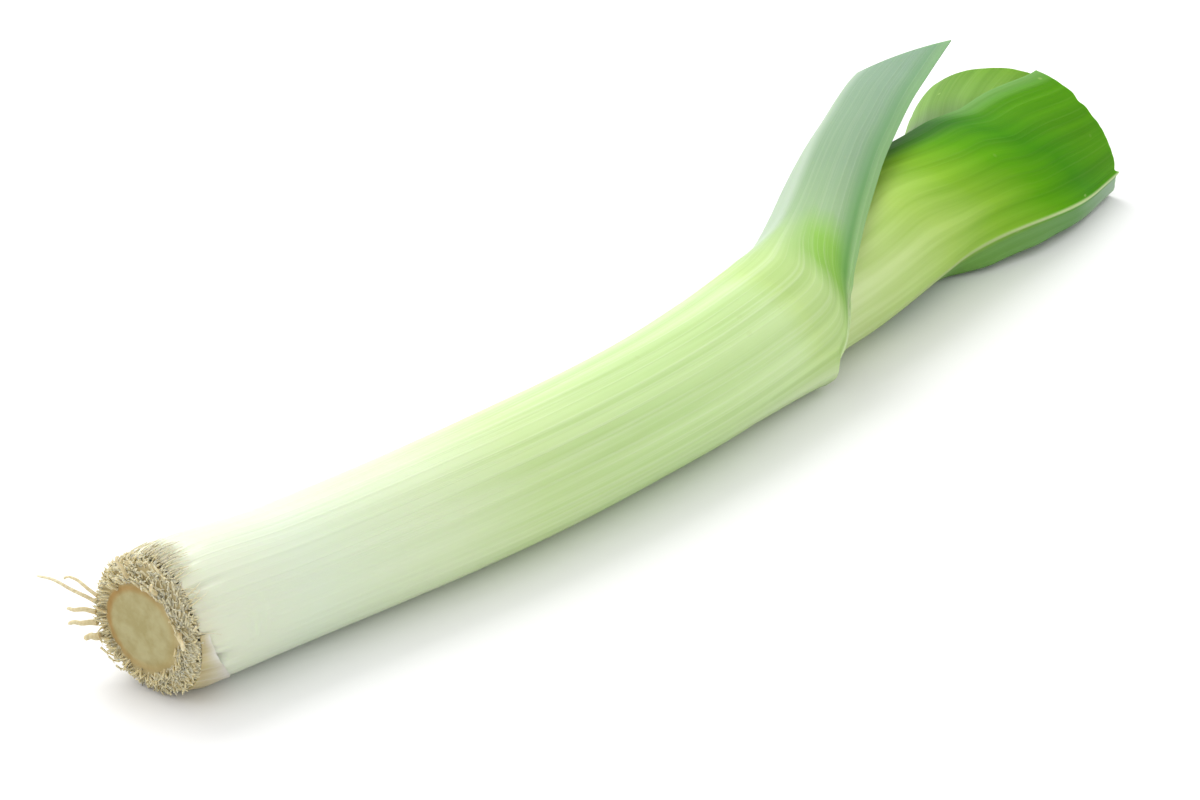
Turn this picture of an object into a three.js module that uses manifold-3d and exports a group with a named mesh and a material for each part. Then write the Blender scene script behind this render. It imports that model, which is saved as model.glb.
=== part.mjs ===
// A trimmed leek lying on its side: stem plate with its cut roots, and eight leaves, each a closed
// sheath inside the last that opens into a folded blade. Millimetres, +Z up, roots towards -X,
// blades towards +X, resting on z = 0.
import * as THREE from 'three';
import { mergeVertices } from 'three/addons/utils/BufferGeometryUtils.js';
import Module from 'manifold-3d';

const wasm = await Module();
wasm.setup();

// ---- driving dimensions ----
const cutStation = 406; // length along the shaft from the root face to the cut across the blades
const columns = 24; // facets around an outer sheath
const innerColumns = 12; // facets around an inner sheath
const sheathPitch = 2.0; // radius lost from one sheath to the next inside it
const sheathWall = 1.68; // thickness of a sheath, which leaves a thin gap to the next
const bladeWall = 1.2; // thickness of the outer leaf's blade
const restAngle = THREE.MathUtils.degToRad(15); // half of the arc that lies flat on the table
const outerKeel = 135; // where the outer leaf's keel runs, degrees up from the front side
const fanKeel = -30; // where the second leaf's keel runs; the next leaves alternate with it
const plateRadius = 11.5; // the flat face of the stem plate
const plateRim = 17.0;
const faceTurn = 0.2; // slope of the root face: its back edge stands out further than its front edge

// Station along the shaft, then the value there; between the stations a smooth curve joins them.
const heading = [[0, -7], [60, -7], [120, -2.6], [180, 2.8], [240, 10], [300, 12.2], [cutStation, 12.2]];
const shaftRadius = [[0, 17.2], [13, 19], [42, 18.1], [100, 18.7], [170, 19.1], [245, 20.2], [cutStation, 20.2]];
const coreRadius = [[0, 15.2], [13, 17], [42, 16.1], [100, 16.7], [170, 17.1], [245, 18.2], [258, 18.5],
  [276, 19.7], [300, 21], [330, 21.4]];
const fanWall = [[240, 1.68], [290, 1.2], [325, 0.95], [cutStation, 0.9]];

function between(table, station) {
  const last = table.length - 1;
  if (station <= table[0][0]) return table[0][1];
  if (station >= table[last][0]) return table[last][1];
  let i = 0;
  while (table[i + 1][0] < station) i += 1;
  const slope = (k) => {
    if (k === 0 || k === last) return 0;
    const before = (table[k][1] - table[k - 1][1]) / (table[k][0] - table[k - 1][0]);
    const after = (table[k + 1][1] - table[k][1]) / (table[k + 1][0] - table[k][0]);
    return before * after > 0 ? (2 * before * after) / (before + after) : 0;
  };
  const step = table[i + 1][0] - table[i][0];
  const t = (station - table[i][0]) / step;
  const rise = table[i + 1][1] - table[i][1];
  const start = slope(i) * step;
  const end = slope(i + 1) * step;
  return table[i][1] + t * (start + t * (3 * rise - 2 * start - end + t * (start + end - 2 * rise)));
}

// ---- the shaft's centreline, bent in plan ----
const centreline = [new THREE.Vector2(0, 0)];
for (let s = 1; s <= cutStation + 2; s += 1) {
  const angle = THREE.MathUtils.degToRad(between(heading, s - 0.5));
  const last = centreline[s - 1];
  centreline.push(new THREE.Vector2(last.x + Math.cos(angle), last.y + Math.sin(angle)));
}

// A point given by its station, its distance towards the front side and its height above the table.
function place(station, across, height) {
  const angle = THREE.MathUtils.degToRad(between(heading, station));
  const whole = Math.max(0, Math.min(Math.floor(station), centreline.length - 2));
  const foot = centreline[whole];
  const along = station - whole;
  return new THREE.Vector3(
    foot.x + along * Math.cos(angle) + across * Math.sin(angle),
    foot.y + along * Math.sin(angle) - across * Math.cos(angle),
    Math.max(height, 0),
  );
}

const shaftAxisHeight = (station) => between(shaftRadius, Math.max(station, 13)) * Math.cos(restAngle);

// ---- a closed solid from rows of outer and inner points ----
// Each row is a ring up to the mouth row; past it the first and last columns part as two margins.
function leafSolid(outerRows, innerRows, mouthRow) {
  const columnCount = outerRows[0].length;
  const top = outerRows.length - 1;
  const points = [];
  const number = (rows) => rows.map((row, i) => {
    const ids = row.map((point, j) => {
      if (i <= mouthRow && j === columnCount - 1) return -1;
      points.push(point.x, point.y, point.z);
      return points.length / 3 - 1;
    });
    if (i <= mouthRow) ids[columnCount - 1] = ids[0];
    return ids;
  });
  const outer = number(outerRows);
  const inner = number(innerRows);
  const index = [];
  const quad = (a, b, c, d) => {
    if (a !== b) index.push(a, b, c);
    if (c !== d) index.push(a, c, d);
  };
  for (let j = 0; j < columnCount - 1; j += 1) {
    for (let i = 0; i < top; i += 1) {
      quad(outer[i][j], outer[i + 1][j], outer[i + 1][j + 1], outer[i][j + 1]);
      quad(inner[i][j], inner[i][j + 1], inner[i + 1][j + 1], inner[i + 1][j]);
    }
    quad(outer[0][j], outer[0][j + 1], inner[0][j + 1], inner[0][j]);
    quad(outer[top][j + 1], outer[top][j], inner[top][j], inner[top][j + 1]);
  }
  for (let i = mouthRow; i < top; i += 1) {
    const last = columnCount - 1;
    index.push(outer[i][0], inner[i][0], inner[i + 1][0], outer[i][0], inner[i + 1][0], outer[i + 1][0]);
    index.push(outer[i][last], inner[i + 1][last], inner[i][last]);
    index.push(outer[i][last], outer[i + 1][last], inner[i + 1][last]);
  }
  return solidGeometry(points, index);
}

function solidGeometry(points, index) {
  const geometry = new THREE.BufferGeometry();
  geometry.setAttribute('position', new THREE.Float32BufferAttribute(points, 3));
  geometry.setIndex(index);
  return geometry;
}

// A cross-section moved inwards by the wall's thickness, square to its own outline.
function inset(section, wall, ring) {
  const last = section.length - 1;
  return section.map((point, j) => {
    const before = section[j > 0 ? j - 1 : (ring ? last - 1 : 0)];
    const after = section[j < last ? j + 1 : (ring ? 1 : last)];
    const tangent = new THREE.Vector2(after.across - before.across, after.height - before.height).normalize();
    return { ...point, across: point.across - wall * tangent.y, height: point.height + wall * tangent.x };
  });
}

const placeRow = (section) => section.map((point) => place(point.station, point.across, point.height));

// ---- the outer leaf ----
// Past its mouth the blade is a V whose keel lifts off the shaft. A row gives the stations of keel
// and margin, how far each stands from the shaft's axis towards the keel's side, how far the margin
// stands out to each side, and how many degrees each half of the V curls.
const outerBlade = [
  { keelAt: 229, marginAt: 241, keelLift: 20.1, marginLift: -20.1, spread: 0, curl: 180 },
  { keelAt: 234, marginAt: 241.2, keelLift: 20.2, marginLift: -20.1, spread: 4.3, curl: 168 },
  { keelAt: 239, marginAt: 241.4, keelLift: 20.4, marginLift: -18.9, spread: 8.9, curl: 155 },
  { keelAt: 244, marginAt: 241.8, keelLift: 20.4, marginLift: -16.4, spread: 13, curl: 142 },
  { keelAt: 249, marginAt: 242.4, keelLift: 20.6, marginLift: -12.9, spread: 16.8, curl: 129 },
  { keelAt: 254, marginAt: 243.6, keelLift: 20.9, marginLift: -8.7, spread: 19.5, curl: 116 },
  { keelAt: 261, marginAt: 248, keelLift: 21.6, marginLift: -4.2, spread: 22.2, curl: 105 },
  { keelAt: 269, marginAt: 258, keelLift: 23.2, marginLift: 1.2, spread: 22.1, curl: 98 },
  { keelAt: 281, marginAt: 271, keelLift: 27, marginLift: 7, spread: 21.3, curl: 91 },
  { keelAt: 295, marginAt: 286, keelLift: 31.8, marginLift: 12.9, spread: 20.8, curl: 83 },
  { keelAt: 310, marginAt: 301, keelLift: 36.4, marginLift: 18.2, spread: 20.1, curl: 72 },
  { keelAt: 323, marginAt: 315, keelLift: 39.4, marginLift: 22.3, spread: 20, curl: 60 },
  { keelAt: 333, marginAt: 331, keelLift: 41.8, marginLift: 26.9, spread: 20.5, curl: 46 },
  { keelAt: 341, marginAt: 346, keelLift: 43.2, marginLift: 30.3, spread: 21.8, curl: 31 },
  { keelAt: 347, marginAt: 360, keelLift: 43.8, marginLift: 34, spread: 25.7, curl: 16 },
];

// One half of the V: an arc from the keel at (lift, 0) to the margin, bulging away from the axis.
function curledHalf(row, share) {
  const keel = new THREE.Vector2(row.keelLift, 0);
  const margin = new THREE.Vector2(row.marginLift, row.spread);
  const half = THREE.MathUtils.degToRad(row.curl) / 2;
  const chord = margin.clone().sub(keel);
  const radius = chord.length() / 2 / Math.sin(half);
  const towardAxis = new THREE.Vector2(-chord.y, chord.x).normalize();
  const middle = keel.clone().add(margin).multiplyScalar(0.5);
  const centre = middle.addScaledVector(towardAxis, radius * Math.cos(half));
  const angle = half * (2 * share - 1);
  return centre.addScaledVector(towardAxis, -radius * Math.cos(angle))
    .addScaledVector(chord.normalize(), radius * Math.sin(angle));
}

function outerBladeSection(row) {
  const keelAngle = THREE.MathUtils.degToRad(outerKeel);
  const section = [];
  for (let j = 0; j <= columns; j += 1) {
    const side = (2 * j) / columns - 1;
    const share = Math.abs(side);
    const point = curledHalf(row, share);
    const out = Math.sign(side) * point.y;
    const station = row.keelAt + (row.marginAt - row.keelAt) * share;
    section.push({
      station,
      across: point.x * Math.cos(keelAngle) - out * Math.sin(keelAngle),
      height: shaftAxisHeight(station) + point.x * Math.sin(keelAngle) + out * Math.cos(keelAngle),
    });
  }
  return section;
}

// ---- a sheath: a ring of the shaft ----
function sheathSection(station, radius, keel, count) {
  const section = [];
  for (let j = 0; j <= count; j += 1) {
    const angle = THREE.MathUtils.degToRad(keel - 180 + (360 * j) / count);
    section.push({
      station,
      across: radius * Math.cos(angle),
      height: shaftAxisHeight(station) + radius * Math.sin(angle),
    });
  }
  return section;
}

const sheathStations = [13, 27, 42, 70, 100, 135, 170, 205];
const plateDome = [[0, 10.6], [6, 10.2], [10, 9.2], [13.5, 7.4], [plateRim, 4.6]]; // radius, then station
const baseGap = 0.4;
const baseStation = (innerRadius) => between(plateDome, innerRadius) + baseGap;

function outerLeaf() {
  const start = baseStation(between(shaftRadius, 4.5) - sheathWall);
  const sheath = [start, ...sheathStations].map(
    (station) => sheathSection(station, between(shaftRadius, station), outerKeel, columns),
  );
  const blade = outerBlade.map(outerBladeSection);
  const sections = [...sheath, ...blade];
  const mouthRow = sheath.length;
  const inner = sections.map((section, i) => inset(section,
    i < mouthRow ? sheathWall : bladeWall, i <= mouthRow));
  return leafSolid(sections.map(placeRow), inner.map(placeRow), mouthRow);
}

// ---- the leaves of the fan, from the second one inwards ----
// front, back and half are the blade's reach to each side and half its height at the cut; margin is
// the angle from the keel to each margin along the blade, 180 where the sheath is closed.
const fanLeaves = [
  { name: 'leaf_2', front: 34, back: 40, half: 19.0, columns: 24, color: 0x7fb23c,
    margin: [[290, 180], [318, 150], [330, 137], [345, 124], [363, 99], [386, 88], [cutStation, 81]] },
  { name: 'leaf_3', front: 30.5, back: 35, half: 16.9, columns: 24, color: 0x86a945,
    margin: [[312, 180], [335, 150], [360, 120], [cutStation, 104]] },
  { name: 'leaf_4', front: 26, back: 32, half: 14.6, columns: 16, color: 0x93b84a,
    margin: [[325, 180], [350, 150], [375, 124], [cutStation, 108]] },
  { name: 'leaf_5', front: 20.5, back: 26.5, half: 12, columns: innerColumns, color: 0xa3c257,
    margin: [[338, 180], [360, 150], [384, 126], [cutStation, 112]] },
  { name: 'leaf_6', front: 16.5, back: 20, half: 9.8, columns: innerColumns, color: 0xb6cc6b,
    margin: [[350, 180], [372, 150], [cutStation, 122]] },
  { name: 'leaf_7', front: 12, back: 14.5, half: 7.4, columns: innerColumns, color: 0xc2d478,
    margin: [[362, 180], [390, 150], [cutStation, 135]] },
  { name: 'heart_leaf', front: 7.5, back: 9, half: 5, columns: innerColumns, color: 0xc9d883,
    margin: [] },
];
const fanStations = [240, 256, 272, 290, 312, 325, 338, 350, 362, 375, 390, cutStation];
const fanAxisHeight = 19.2; // of the fan's middle at the cut
const fanAxisBack = 2; // how far it lies behind the shaft's centreline
const thinning = 0.06; // share of its wall that each leaf has less than the one outside it
const keelDrop = { front: 11, back: 4 }; // how far the outermost keels hang below the fan's middle
const frontOpening = [318, 382]; // stations over which the fan spreads to each side
const backOpening = [350, 412];
const frontSinking = [322, 392]; // stations over which the front keels sink
// Below the second leaf's keel its flank stands out, by station, over flankSpan degrees.
const flank = [[306, 0], [320, 2.5], [338, 10], [352, 10], [366, 7], [380, 5], [cutStation, 4]];
const flankSpan = 78;

function fanSection(leaf, depth, station, keelSide, open) {
  const radius = between(coreRadius, station) - depth * sheathPitch;
  const axisHeight = station < 240 ? shaftAxisHeight(station)
    : THREE.MathUtils.lerp(shaftAxisHeight(240), between(coreRadius, station) * Math.cos(restAngle),
      THREE.MathUtils.smoothstep(station, 240, 290));
  const frontShare = THREE.MathUtils.smoothstep(station, ...frontOpening);
  const backShare = THREE.MathUtils.smoothstep(station, ...backOpening);
  const sunk = THREE.MathUtils.smoothstep(station, ...frontSinking);
  const section = [];
  for (let j = 0; j <= leaf.columns; j += 1) {
    const turn = open * ((2 * j) / leaf.columns - 1);
    const angle = THREE.MathUtils.degToRad(keelSide + turn + fanKeel * (1 - frontShare));
    const cos = Math.cos(angle);
    const front = cos > 0;
    const share = front ? frontShare : backShare;
    const reach = THREE.MathUtils.lerp(radius, front ? leaf.front : leaf.back, share);
    const drop = front ? sunk * keelDrop.front * (leaf.front / fanLeaves[0].front)
      : backShare * keelDrop.back * (leaf.back / fanLeaves[0].back);
    const bulge = depth === 0 && turn < 0 && turn > -flankSpan
      ? between(flank, station) * Math.sin((Math.PI * turn) / flankSpan) ** 2 : 0;
    const half = THREE.MathUtils.lerp(radius, leaf.half, frontShare);
    section.push({
      station,
      across: reach * cos - fanAxisBack * frontShare + bulge,
      height: THREE.MathUtils.lerp(axisHeight, fanAxisHeight, frontShare) + half * Math.sin(angle)
        - drop * cos * cos,
    });
  }
  return section;
}

function fanRows(leaf, depth) {
  const startRadius = Math.max(between(coreRadius, 6) - depth * sheathPitch - sheathWall, 0);
  const stations = [baseStation(startRadius), ...sheathStations, ...fanStations];
  const keelSide = depth % 2 === 0 ? 0 : 180;
  const opening = (station) => (leaf.margin.length > 0 ? between(leaf.margin, station) : 180);
  return stations.map((station) => fanSection(leaf, depth, station, keelSide, opening(station)));
}

function fanLeaf(leaf, depth) {
  const sections = fanRows(leaf, depth);
  const mouthRow = sections.findIndex((section) => section[0].station >= leaf.margin[0][0]);
  const inner = sections.map((section, i) => inset(section,
    between(fanWall, section[0].station) * (1 - thinning * depth), i <= mouthRow));
  return leafSolid(sections.map(placeRow), inner.map(placeRow), mouthRow);
}

// The innermost leaf is still rolled tight, so it is a rod with a flat cut.
function heartLeaf(leaf, depth) {
  const rings = fanRows(leaf, depth).map((section) => placeRow(section.slice(0, -1)));
  const count = leaf.columns;
  const points = rings.flat().flatMap((point) => [point.x, point.y, point.z]);
  const index = [];
  for (let j = 0; j < count; j += 1) {
    const next = (j + 1) % count;
    for (let i = 0; i < rings.length - 1; i += 1) {
      const [a, b] = [i * count, (i + 1) * count];
      index.push(a + j, b + j, b + next, a + j, b + next, a + next);
    }
  }
  const top = (rings.length - 1) * count;
  for (let j = 1; j < count - 1; j += 1) {
    index.push(0, j, j + 1);
    index.push(top, top + j + 1, top + j);
  }
  return solidGeometry(points, index);
}

// ---- stem plate with its cut roots ----
function toManifold(geometry) {
  const bare = geometry.clone();
  bare.deleteAttribute('normal');
  bare.deleteAttribute('uv');
  const merged = mergeVertices(bare, 1e-4);
  return new wasm.Manifold(new wasm.Mesh({
    numProp: 3,
    vertProperties: new Float32Array(merged.attributes.position.array),
    triVerts: new Uint32Array(merged.index.array),
  }));
}

function fromManifold(solid) {
  const mesh = solid.getMesh();
  return solidGeometry(Array.from(mesh.vertProperties), Array.from(mesh.triVerts));
}

const plateCentre = shaftAxisHeight(0);
const rootHeading = THREE.MathUtils.degToRad(heading[0][1]);
const sheathFoot = plateDome[plateDome.length - 1][1]; // where the plate no longer turns with its face

// How far the slope of the root face moves a point of the root end along the shaft.
function faceShift(station, across) {
  return faceTurn * across * (1 - THREE.MathUtils.clamp(station / sheathFoot, 0, 1));
}

// A root cut short: a tapered peg from the plate's flank, pointing outwards and a little back.
function rootPeg({ angle, from, length, radius, lean, at }) {
  const peg = new THREE.CylinderGeometry(radius * 0.75, radius, length, 6);
  peg.translate(0, length / 2, 0);
  const out = new THREE.Vector3(-Math.sin(lean), -Math.cos(angle) * Math.cos(lean),
    Math.sin(angle) * Math.cos(lean));
  peg.applyQuaternion(new THREE.Quaternion().setFromUnitVectors(new THREE.Vector3(0, 1, 0), out));
  const across = Math.cos(angle) * from;
  peg.translate(at + faceShift(at, across), -across, plateCentre + Math.sin(angle) * from);
  return peg;
}

function stemPlate() {
  const profile = [[0, 0], [plateRadius, 0], [14.8, 1.0], [plateRim, 3.2], ...plateDome.toReversed()];
  const disc = new THREE.LatheGeometry(profile.map(([r, x]) => new THREE.Vector2(r, x)), 24);
  disc.rotateZ(-Math.PI / 2);
  disc.translate(0, 0, plateCentre);
  const points = disc.attributes.position;
  for (let i = 0; i < points.count; i += 1) {
    points.setX(i, points.getX(i) + faceShift(points.getX(i), -points.getY(i)));
  }
  let plate = toManifold(disc);
  const rings = [
    { count: 15, from: 11.6, length: 4.6, radius: 0.85, lean: 0.35, at: 2.2 },
    { count: 15, from: 13.6, length: 3.8, radius: 0.75, lean: 0.1, at: 3.2 },
  ];
  rings.forEach((ring, r) => {
    for (let i = 0; i < ring.count; i += 1) {
      const angle = ((i + r / 2) / ring.count) * Math.PI * 2;
      const uneven = 1 + 0.12 * Math.sin(i * 2.4 + r);
      plate = plate.add(toManifold(rootPeg({ ...ring, angle, length: ring.length * uneven })));
    }
  });
  return fromManifold(plate).rotateZ(rootHeading);
}

// ---- the longer roots that the trimming missed ----
// angle is where the root leaves the plate's rim; reach, back and droop say where its tip ends up.
const longRoots = [
  { angle: 168, reach: 20, back: 4.2, droop: 3.2, radius: 0.55 },
  { angle: 160, reach: 14, back: 1.8, droop: 2.9, radius: 0.5 },
  { angle: 180, reach: 9, back: 2.8, droop: 2.2, radius: 0.7 },
  { angle: 192, reach: 9, back: 2.9, droop: 1.2, radius: 0.8 },
  { angle: 206, reach: 6.5, back: 1, droop: -0.3, radius: 1.1 },
  { angle: 100, reach: 6, back: 2.5, droop: -1, radius: 0.6 },
  { angle: 62, reach: 5, back: 3, droop: 0, radius: 0.6 },
  { angle: 15, reach: 5, back: 2.5, droop: 2, radius: 0.65 },
];

function longRoot({ angle, reach, back, droop, radius }) {
  const turn = THREE.MathUtils.degToRad(angle);
  const out = new THREE.Vector3(0, -Math.cos(turn), Math.sin(turn));
  const start = new THREE.Vector3(-0.9 + faceShift(0, 14.2 * Math.cos(turn)), 0, plateCentre)
    .addScaledVector(out, 14.2);
  const middle = start.clone().addScaledVector(out, reach / 2).add(new THREE.Vector3(-back * 0.7, 0, 0));
  const tip = start.clone().addScaledVector(out, reach).add(new THREE.Vector3(-back, 0, -droop));
  const path = new THREE.QuadraticBezierCurve3(start, middle, tip);
  const section = new THREE.Shape();
  section.absarc(0, 0, radius, 0, Math.PI * 2);
  return new THREE.ExtrudeGeometry(section, {
    steps: 6, curveSegments: 3, extrudePath: path, bevelEnabled: false,
  }).rotateZ(rootHeading);
}

// ---- the leek ----
const leek = new THREE.Group();

function addPiece(name, geometry, color, roughness) {
  const material = new THREE.MeshStandardMaterial({ color, roughness, metalness: 0 });
  const mesh = new THREE.Mesh(geometry, material);
  mesh.name = name;
  leek.add(mesh);
}

addPiece('stem_plate', stemPlate(), 0xc2b184, 0.85);
longRoots.forEach((root, i) => addPiece(`root_${i + 1}`, longRoot(root), 0xcfc29a, 0.85));
addPiece('outer_leaf', outerLeaf(), 0xc9e29a, 0.4);
fanLeaves.forEach((leaf, depth) => {
  const make = leaf.margin.length > 0 ? fanLeaf : heartLeaf;
  addPiece(leaf.name, make(leaf, depth), leaf.color, 0.45);
});

// The origin is under the middle of the leek, on the table.
const box = new THREE.Box3().setFromObject(leek);
leek.position.set(-(box.min.x + box.max.x) / 2, -(box.min.y + box.max.y) / 2, 0);
leek.updateMatrixWorld(true);

export default leek;
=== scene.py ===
import math
import random

import bpy
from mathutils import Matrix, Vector, noise


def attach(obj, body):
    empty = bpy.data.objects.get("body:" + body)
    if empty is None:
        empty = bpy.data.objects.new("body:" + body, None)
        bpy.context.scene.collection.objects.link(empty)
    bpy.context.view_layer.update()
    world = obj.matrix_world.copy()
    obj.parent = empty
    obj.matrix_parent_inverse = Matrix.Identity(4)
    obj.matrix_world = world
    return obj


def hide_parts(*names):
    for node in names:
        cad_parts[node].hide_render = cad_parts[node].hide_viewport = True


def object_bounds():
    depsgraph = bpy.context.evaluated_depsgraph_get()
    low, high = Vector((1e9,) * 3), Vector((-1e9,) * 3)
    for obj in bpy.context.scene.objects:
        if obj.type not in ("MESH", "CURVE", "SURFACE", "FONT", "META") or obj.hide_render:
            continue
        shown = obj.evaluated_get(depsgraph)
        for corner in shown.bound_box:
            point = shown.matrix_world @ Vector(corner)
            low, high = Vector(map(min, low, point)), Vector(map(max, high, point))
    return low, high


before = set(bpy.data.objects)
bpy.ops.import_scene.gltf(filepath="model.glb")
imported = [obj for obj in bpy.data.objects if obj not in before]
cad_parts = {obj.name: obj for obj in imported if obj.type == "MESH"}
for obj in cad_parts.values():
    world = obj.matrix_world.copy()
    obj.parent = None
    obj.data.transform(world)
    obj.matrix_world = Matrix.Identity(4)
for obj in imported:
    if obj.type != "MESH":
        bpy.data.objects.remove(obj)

mm = 0.001
cadLow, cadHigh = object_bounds()
middle = (cadLow + cadHigh) / 2
footX = cadLow.x + 4.486 * mm  # the middle of the root face
footY = cadLow.y + 32.27 * mm


# The camera looks along the leek from its root end, down on the floor.
view = {"lens": 117, "down": 27, "turn": -48, "distance": 1.1, "aim": (-0.013, 0.0026, 0.0036)}


def makeCamera():
    bpy.ops.object.camera_add()
    camera = bpy.context.object
    camera.name = "camera"
    camera.data.lens = view["lens"]
    camera.rotation_euler = (math.radians(90 - view["down"]), 0, math.radians(view["turn"]))
    backwards = camera.rotation_euler.to_matrix() @ Vector((0, 0, 1))
    aim = Vector((middle.x, middle.y, cadLow.z)) + Vector(view["aim"])
    camera.location = aim + backwards * view["distance"]
    bpy.context.scene.camera = camera


light = {  # a place is measured from the middle of the leek in plan, and up from the table
    "world": 1.15,
    "key": 10.0, "keySize": 0.9, "keyPlace": (0.15, 0.75, 0.95),
    "rim": 0.9, "rimSize": 0.5, "rimPlace": (-0.8, 0.2, 0.7),
    "level": 1.4,  # how bright these lamps make a white surface
    "floor": 0.8, "floorSize": 8, "floorRoughness": 0.7,
}


def addSoftbox(name, offset, power, size):
    place = (middle.x + offset[0], middle.y + offset[1], offset[2])
    bpy.ops.object.light_add(type="AREA", location=place)
    lamp = bpy.context.object
    lamp.name = name
    lamp.data.energy = power
    lamp.data.size = size
    lamp.rotation_euler = (middle - Vector(place)).to_track_quat("-Z", "Y").to_euler()


def lightStudio():
    world = bpy.data.worlds.new("studio")
    world.use_nodes = True
    world.node_tree.nodes["Background"].inputs["Color"].default_value = (1, 1, 1, 1)
    world.node_tree.nodes["Background"].inputs["Strength"].default_value = light["world"]
    bpy.context.scene.world = world
    addSoftbox("keySoftbox", light["keyPlace"], light["key"], light["keySize"])
    addSoftbox("rootSoftbox", light["rimPlace"], light["rim"], light["rimSize"])
    bpy.context.scene.view_settings.view_transform = "Standard"


def deselect():
    bpy.ops.object.select_all(action="DESELECT")


def makeFloor():
    deselect()
    bpy.ops.mesh.primitive_plane_add(size=light["floorSize"], location=(middle.x, middle.y, cadLow.z))
    floor = bpy.context.object
    floor.name = "floor"
    material = bpy.data.materials.new("paleFloor")
    material.use_nodes = True
    shader = material.node_tree.nodes["Principled BSDF"]
    shader.inputs["Base Color"].default_value = (light["floor"],) * 3 + (1,)
    shader.inputs["Roughness"].default_value = light["floorRoughness"]
    floor.data.materials.append(material)


makeCamera()
lightStudio()
makeFloor()
print("camera, floor and light are in place")


# The shaft. Millimetres along the leek from the root face, then the value there.
shaft = {
    "cut": 406,
    "heading": [(0, -7), (60, -7), (120, -2.6), (180, 2.8), (240, 10), (300, 12.2), (406, 12.2)],
    "radius": [(0, 17.2), (13, 19), (42, 18.1), (100, 18.7), (170, 19.1), (245, 20.2), (406, 20.2)],
    "core": [(0, 15.2), (13, 17), (42, 16.1), (100, 16.7), (170, 17.1), (245, 18.2), (258, 18.5),
             (276, 19.7), (300, 21), (330, 21.4)],
    "restAngle": 15,  # half of the arc that lies flat
    "levelTo": 13,  # the axis keeps its height from here back to the root face
}


def between(table, at):
    if at <= table[0][0]:
        return table[0][1]
    if at >= table[-1][0]:
        return table[-1][1]
    i = 0
    while table[i + 1][0] < at:
        i += 1

    def slope(k):
        if k in (0, len(table) - 1):
            return 0
        before = (table[k][1] - table[k - 1][1]) / (table[k][0] - table[k - 1][0])
        after = (table[k + 1][1] - table[k][1]) / (table[k + 1][0] - table[k][0])
        return 2 * before * after / (before + after) if before * after > 0 else 0

    step = table[i + 1][0] - table[i][0]
    t = (at - table[i][0]) / step
    rise = table[i + 1][1] - table[i][1]
    start, end = slope(i) * step, slope(i + 1) * step
    bow = 3 * rise - 2 * start - end
    return table[i][1] + t * (start + t * (bow + t * (start + end - 2 * rise)))


def smoothstep(at, low, high):
    t = min(max((at - low) / (high - low), 0), 1)
    return t * t * (3 - 2 * t)


def lerp(a, b, t):
    return a + (b - a) * t


def spaced(first, last, count):
    return [lerp(first, last, i / count) for i in range(count)]


centreline = [Vector((0, 0))]
headings = [math.radians(between(shaft["heading"], s)) for s in range(shaft["cut"] + 6)]
for s in range(1, shaft["cut"] + 6):
    angle = math.radians(between(shaft["heading"], s - 0.5))
    centreline.append(centreline[-1] + Vector((math.cos(angle), math.sin(angle))))


# A point from its distance along the leek, across it towards the front, and up, in millimetres.
def place(station, across, height):
    whole = int(min(max(math.floor(station), 0), len(centreline) - 2))
    along = station - whole
    angle = lerp(headings[whole], headings[whole + 1], min(max(along, 0), 1))
    foot = centreline[whole]
    return Vector((
        footX + mm * (foot.x + along * math.cos(angle) + across * math.sin(angle)),
        footY + mm * (foot.y + along * math.sin(angle) - across * math.cos(angle)),
        mm * max(height, 0),
    ))


def axisHeight(station):
    radius = between(shaft["radius"], max(station, shaft["levelTo"]))
    return radius * math.cos(math.radians(shaft["restAngle"]))


# A colour as it looks under these lamps, from its display values.
def srgb(red, green, blue):
    def channel(value):
        value /= 255
        return value / 12.92 if value <= 0.04045 else ((value + 0.055) / 1.055) ** 2.4
    return tuple(channel(value) / light["level"] for value in (red, green, blue)) + (1,)


def newMaterial(name):
    material = bpy.data.materials.new(name)
    material.use_nodes = True
    tree = material.node_tree
    return material, tree, tree.nodes["Principled BSDF"]


def addNode(tree, kind, **settings):
    node = tree.nodes.new(kind)
    for key, value in settings.items():
        setattr(node, key, value)
    return node


def ramp(tree, source, stops):
    node = addNode(tree, "ShaderNodeValToRGB")
    elements = node.color_ramp.elements
    while len(elements) < len(stops):
        elements.new(0.5)
    for element, (position, colour) in zip(elements, stops):
        element.position = position
        element.color = colour if isinstance(colour, tuple) else (colour, colour, colour, 1)
    tree.links.new(source, node.inputs["Fac"])
    return node.outputs["Color"]


def feed(tree, node, values):
    for number, value in values.items():
        if hasattr(value, "is_linked"):
            tree.links.new(value, node.inputs[number])
        else:
            node.inputs[number].default_value = value


def mixColour(tree, share, first, second, kind="MIX"):
    node = addNode(tree, "ShaderNodeMix", data_type="RGBA", blend_type=kind)
    feed(tree, node, {0: share, 6: first, 7: second})
    return node.outputs[2]


def maths(tree, kind, first, second):
    node = addNode(tree, "ShaderNodeMath", operation=kind)
    feed(tree, node, {0: first, 1: second})
    return node.outputs[0]


# Noise drawn out along the leaf: across and along count its repeats over the whole UV map.
def streaks(tree, across, along, detail=2.0, shift=0.0):
    uv = addNode(tree, "ShaderNodeUVMap")
    mapping = addNode(tree, "ShaderNodeMapping")
    mapping.inputs["Scale"].default_value = (across, along, 1)
    mapping.inputs["Location"].default_value = (shift, shift, shift)
    texture = addNode(tree, "ShaderNodeTexNoise")
    texture.inputs["Scale"].default_value = 1
    texture.inputs["Detail"].default_value = detail
    tree.links.new(uv.outputs["UV"], mapping.inputs["Vector"])
    tree.links.new(mapping.outputs["Vector"], texture.inputs["Vector"])
    return texture.outputs["Fac"]


def leafUV(tree):
    uv = addNode(tree, "ShaderNodeUVMap")
    split = addNode(tree, "ShaderNodeSeparateXYZ")
    tree.links.new(uv.outputs["UV"], split.inputs["Vector"])
    return split.outputs["X"], split.outputs["Y"]


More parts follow.
